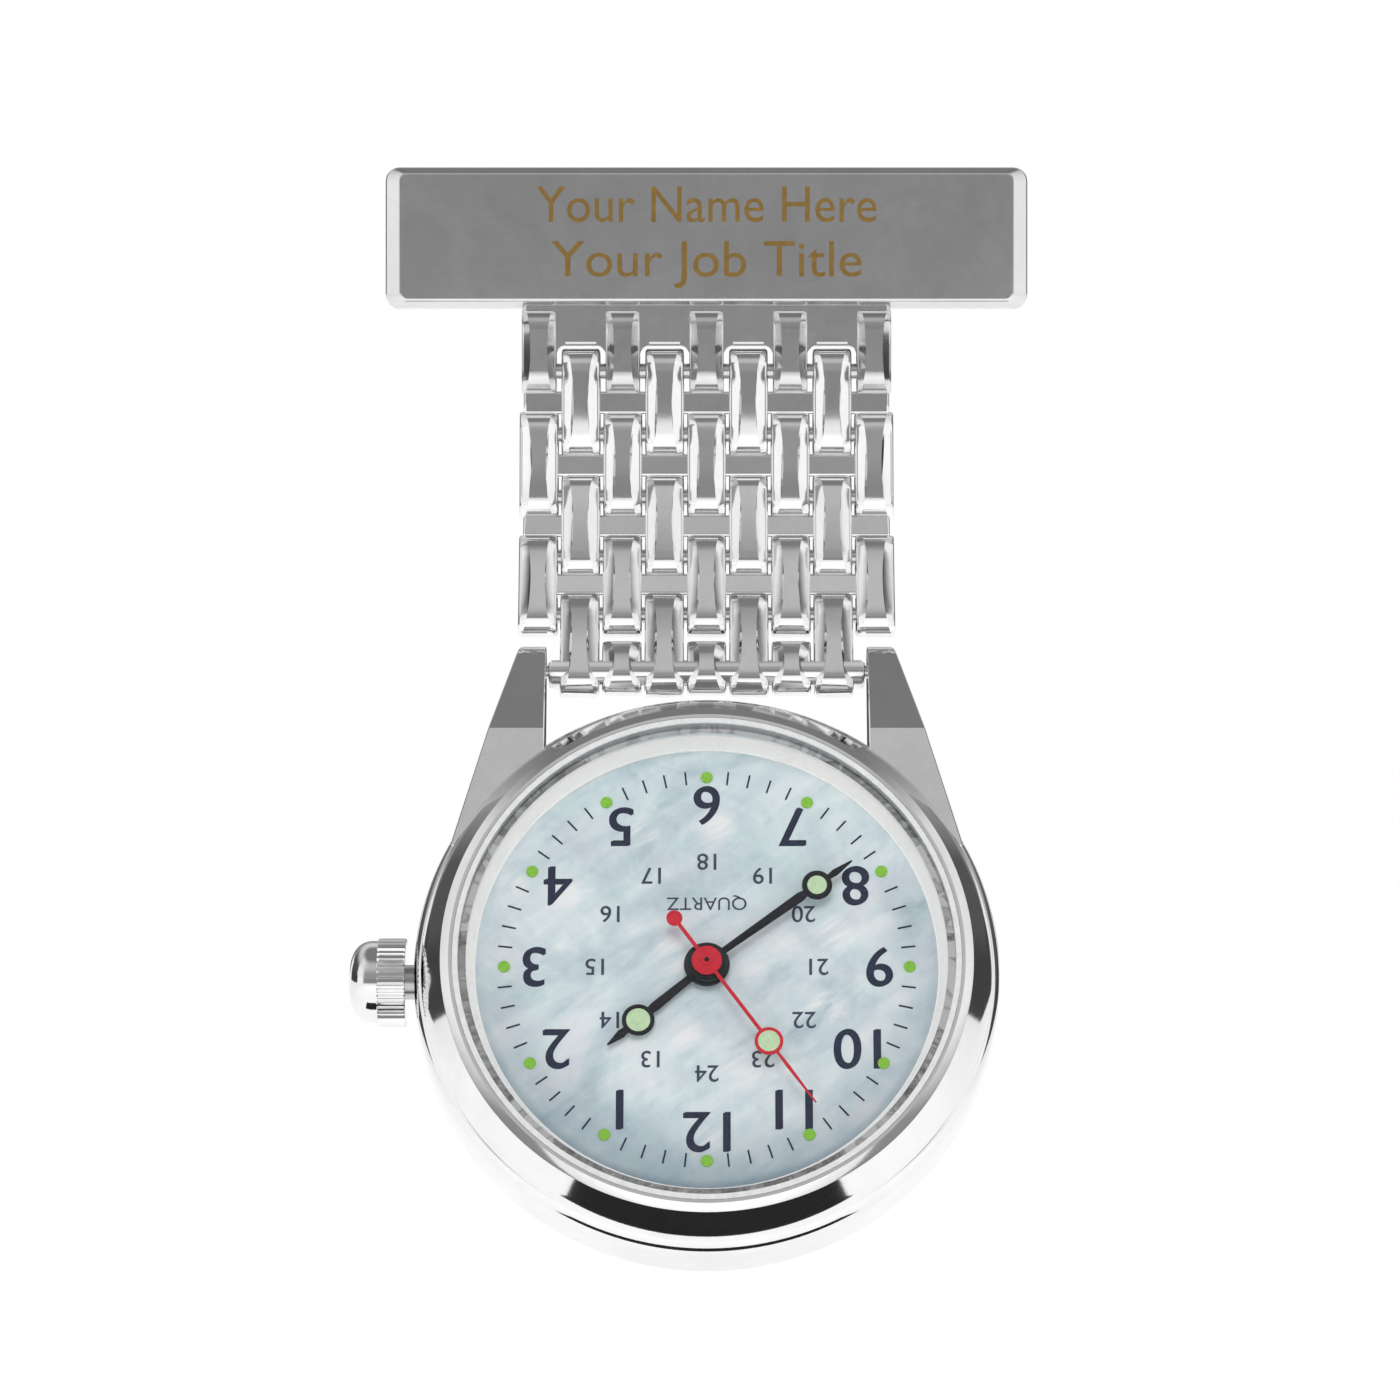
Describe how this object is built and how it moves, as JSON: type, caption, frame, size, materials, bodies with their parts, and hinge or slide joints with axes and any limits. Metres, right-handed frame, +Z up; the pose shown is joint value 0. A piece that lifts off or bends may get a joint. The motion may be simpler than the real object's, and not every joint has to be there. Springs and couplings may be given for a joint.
{
  "type": "fob watch",
  "caption": "Fob watch: a name bar brooch with a pin, a comb link bracelet and an upside-down round quartz watch head with a crown, for reading the time while pinned to a uniform.",
  "frame": {"origin": "on the brooch pin stem's axis, halfway along its full-radius stretch", "axes": "+X along the pin stem towards its point, +Y into the cloth, +Z up; the dial faces -Y"},
  "size_m": [0.0378, 0.0262, 0.0612],
  "materials": {
    "bar_steel": "polished, with fine hairlines",
    "bracelet_steel": "polished",
    "case_steel": "polished",
    "back_steel": "circular brushed",
    "pin_steel": "satin",
    "crystal_glass": "clear and polished",
    "pearl_dial": "pale mother-of-pearl",
    "rehaut_white": "silver white satin",
    "lume_green": "luminous paint",
    "lume_pale": "luminous paint",
    "hand_black": "gloss black",
    "hand_red": "gloss red",
    "gasket_rubber": "matte",
    "gasket_clear": "translucent white",
    "holder_plastic": "moulded",
    "train_brass": "fine turned",
    "movement_steel": "fine ground",
    "board_green": "solder mask",
    "coil_copper": "enamelled copper wire"
  },
  "bodies": {
    "brooch": {"brooch_plate": "bar_steel", "hinge_bracket": "pin_steel", "hinge_rivet": "pin_steel", "catch_post": "pin_steel", "link_pin_1": "pin_steel"},
    "pin_stem": {"pin_stem": "pin_steel"},
    "catch_collar": {"catch_collar": "pin_steel"},
    "row_1": {"link_row_1": "bracelet_steel", "link_pin_2": "pin_steel"},
    "row_2": {"link_row_2": "bracelet_steel", "link_pin_3": "pin_steel"},
    "row_3": {"link_row_3": "bracelet_steel", "link_pin_4": "pin_steel"},
    "row_4": {"link_row_4": "bracelet_steel", "link_pin_5": "pin_steel"},
    "end_link": {"end_link": "bracelet_steel"},
    "head": {"spring_bar_tube": "pin_steel", "spring_bar_tips": "pin_steel", "spring_bar_spring": "movement_steel", "mid_case": "case_steel", "crown_tube": "movement_steel", "case_back": "back_steel", "case_back_gasket": "gasket_rubber", "bezel": "case_steel", "crystal": "crystal_glass", "crystal_gasket": "gasket_clear", "rehaut_ring": "rehaut_white", "dial": "pearl_dial", "hour_dots": "lume_green", "movement_holder": "holder_plastic", "main_plate": "train_brass", "train_bridge": "movement_steel", "movement_screws": "movement_steel", "circuit_board": "board_green", "quartz_can": "movement_steel", "coil": "coil_copper", "coil_core": "movement_steel", "stator": "movement_steel", "battery": "movement_steel", "battery_clamp": "movement_steel"},
    "setting_lever": {"setting_lever": "movement_steel"},
    "crown": {"crown": "case_steel", "crown_gasket": "gasket_rubber", "winding_stem": "movement_steel", "sliding_pinion": "movement_steel"},
    "second_hand": {"second_hand": "hand_red", "second_hand_lume": "lume_pale", "fourth_wheel": "train_brass"},
    "rotor": {"rotor": "movement_steel"},
    "fifth_wheel": {"fifth_wheel": "train_brass"},
    "third_wheel": {"third_wheel": "train_brass"},
    "minute_hand": {"minute_hand": "hand_black", "minute_hand_lume": "lume_pale", "centre_wheel": "train_brass", "cannon_pinion": "movement_steel"},
    "motion_wheel": {"motion_wheel": "train_brass"},
    "hour_hand": {"hour_hand": "hand_black", "hour_hand_lume": "lume_pale", "hour_wheel": "train_brass"}
  },
  "joints": [
    {"name": "row_1_hinge", "type": "hinge", "parent": "brooch", "child": "row_1", "pos_m": [0, -0.0032, -0.0086], "axis": [-1, 0, 0], "range_deg": [-24, 24]},
    {"name": "row_2_hinge", "type": "hinge", "parent": "row_1", "child": "row_2", "pos_m": [0, -0.0032, -0.0122], "axis": [-1, 0, 0], "range_deg": [-30, 18]},
    {"name": "row_3_hinge", "type": "hinge", "parent": "row_2", "child": "row_3", "pos_m": [0, -0.00358, -0.01578], "axis": [-1, 0, 0], "range_deg": [-35, 13]},
    {"name": "row_4_hinge", "type": "hinge", "parent": "row_3", "child": "row_4", "pos_m": [0, -0.00463, -0.01922], "axis": [-1, 0, 0], "range_deg": [-31, 17]},
    {"name": "end_link_hinge", "type": "hinge", "parent": "row_4", "child": "end_link", "pos_m": [0, -0.00609, -0.02251], "axis": [-1, 0, 0], "range_deg": [-27, 21]},
    {"name": "head_hinge", "type": "hinge", "parent": "end_link", "child": "head", "pos_m": [0, -0.00773, -0.02572], "axis": [-1, 0, 0], "range_deg": [-25, 35]},
    {"name": "pin_stem_swing", "type": "hinge", "parent": "brooch", "child": "pin_stem", "pos_m": [-0.0135, 0, 0], "axis": [0, 0, 1], "range_deg": [0, 60]},
    {"name": "catch_turn", "type": "hinge", "parent": "brooch", "child": "catch_collar", "pos_m": [0.0137, 0, 0], "axis": [1, 0, 0], "range_deg": [0, 150]},
    {"name": "crown_pull", "type": "slide", "parent": "head", "child": "setting_lever", "axis": [-1, 0, 0], "range_m": [0, 0.001]},
    {"name": "crown_turn", "type": "hinge", "parent": "setting_lever", "child": "crown", "pos_m": [-0.016, -0.01516, -0.04278], "axis": [-1, 0, 0], "continuous": true},
    {"name": "second_hand_turn", "type": "hinge", "parent": "head", "child": "second_hand", "pos_m": [0, -0.01516, -0.04278], "axis": [0, 0.9272, -0.3746], "continuous": true},
    {"name": "rotor_turn", "type": "hinge", "parent": "head", "child": "rotor", "pos_m": [0.00361, -0.01639, -0.04582], "axis": [0, 0.9272, -0.3746], "continuous": true},
    {"name": "fifth_wheel_turn", "type": "hinge", "parent": "head", "child": "fifth_wheel", "pos_m": [0.00144, -0.01609, -0.04509], "axis": [0, 0.9272, -0.3746], "continuous": true},
    {"name": "third_wheel_turn", "type": "hinge", "parent": "head", "child": "third_wheel", "pos_m": [-0.0017, -0.01406, -0.04005], "axis": [0, 0.9272, -0.3746], "continuous": true},
    {"name": "minute_hand_turn", "type": "hinge", "parent": "head", "child": "minute_hand", "pos_m": [0, -0.01516, -0.04278], "axis": [0, 0.9272, -0.3746], "continuous": true},
    {"name": "motion_wheel_turn", "type": "hinge", "parent": "head", "child": "motion_wheel", "pos_m": [0.00225, -0.01467, -0.04157], "axis": [0, 0.9272, -0.3746], "continuous": true},
    {"name": "hour_hand_turn", "type": "hinge", "parent": "head", "child": "hour_hand", "pos_m": [0, -0.01516, -0.04278], "axis": [0, 0.9272, -0.3746], "continuous": true}
  ],
  "couplings": [
    {"joint": "rotor_turn", "follows": "second_hand_turn", "ratio": 30},
    {"joint": "fifth_wheel_turn", "follows": "second_hand_turn", "ratio": -5},
    {"joint": "third_wheel_turn", "follows": "second_hand_turn", "ratio": -0.13333},
    {"joint": "minute_hand_turn", "follows": "second_hand_turn", "ratio": 0.016667},
    {"joint": "motion_wheel_turn", "follows": "second_hand_turn", "ratio": -0.0055556},
    {"joint": "hour_hand_turn", "follows": "second_hand_turn", "ratio": 0.0013889}
  ]
}
